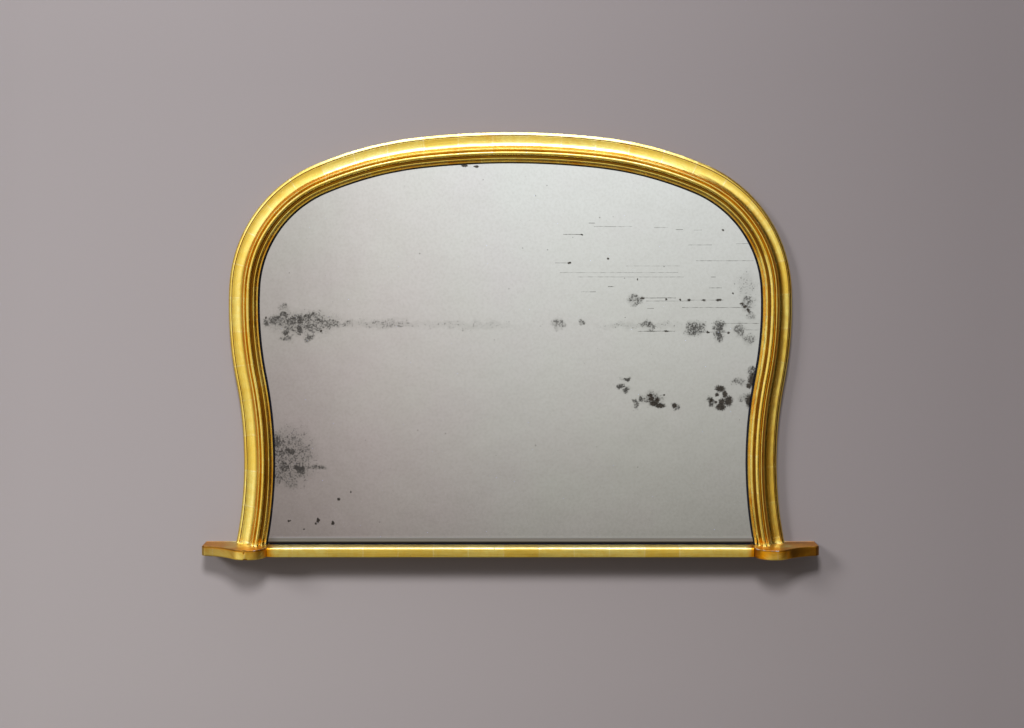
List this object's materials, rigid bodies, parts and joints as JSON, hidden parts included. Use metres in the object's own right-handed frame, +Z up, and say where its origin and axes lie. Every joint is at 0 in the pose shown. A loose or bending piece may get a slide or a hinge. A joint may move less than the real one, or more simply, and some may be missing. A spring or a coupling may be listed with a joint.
{
  "type": "overmantel mirror",
  "caption": "Arched and waisted gilt-framed overmantel mirror on a plinth base, with swinging hanger rings on its back.",
  "frame": {"origin": "underside of the base, at the middle of its back edge, on the plane of the back of the frame", "axes": "+X along the base to the right as seen from the front, +Y towards the wall, +Z up"},
  "size_m": [1.4, 0.1139, 0.962],
  "materials": {
    "gilt": "gold leaf over bole and gesso, burnished and worn",
    "pine": "old planed pine",
    "board_pine": "old sawn pine, darkened",
    "mirror_glass": "old silvered plate with foxing",
    "leather": "matt",
    "screw_steel": "dull, browned",
    "brass": "tarnished"
  },
  "bodies": {
    "frame": {"moulding_crown": "gilt", "moulding_haunch_left": "gilt", "moulding_haunch_right": "gilt", "moulding_shoulder_left": "gilt", "moulding_shoulder_right": "gilt", "moulding_side_left": "gilt", "moulding_side_right": "gilt", "moulding_waist_left": "gilt", "moulding_waist_right": "gilt", "carcass_top_left": "pine", "carcass_top_right": "pine", "carcass_shoulder_left": "pine", "carcass_shoulder_right": "pine", "carcass_side_left": "pine", "carcass_side_right": "pine", "carcass_screws": "screw_steel", "base_rail": "gilt", "plinth_left": "gilt", "plinth_right": "gilt", "rail_dowels": "pine", "plinth_screws": "screw_steel", "glass_plate": "mirror_glass", "setting_pieces": "leather", "glazing_blocks": "pine", "backboard_bottom": "board_pine", "backboard_lower": "board_pine", "backboard_middle": "board_pine", "backboard_upper": "board_pine", "backboard_top": "board_pine", "backboard_screws": "screw_steel", "hanger_strap_left": "brass", "hanger_strap_right": "brass", "hanger_screws": "brass"},
    "ring_left": {"hanger_ring_left": "brass"},
    "ring_right": {"hanger_ring_right": "brass"}
  },
  "joints": [
    {"name": "ring_left_hinge", "type": "hinge", "parent": "frame", "child": "ring_left", "pos_m": [-0.61238, 0.0042, 0.66001], "axis": [1, 0, 0], "range_deg": [0, 180]},
    {"name": "ring_right_hinge", "type": "hinge", "parent": "frame", "child": "ring_right", "pos_m": [0.61238, 0.0042, 0.66001], "axis": [1, 0, 0], "range_deg": [0, 180]}
  ]
}
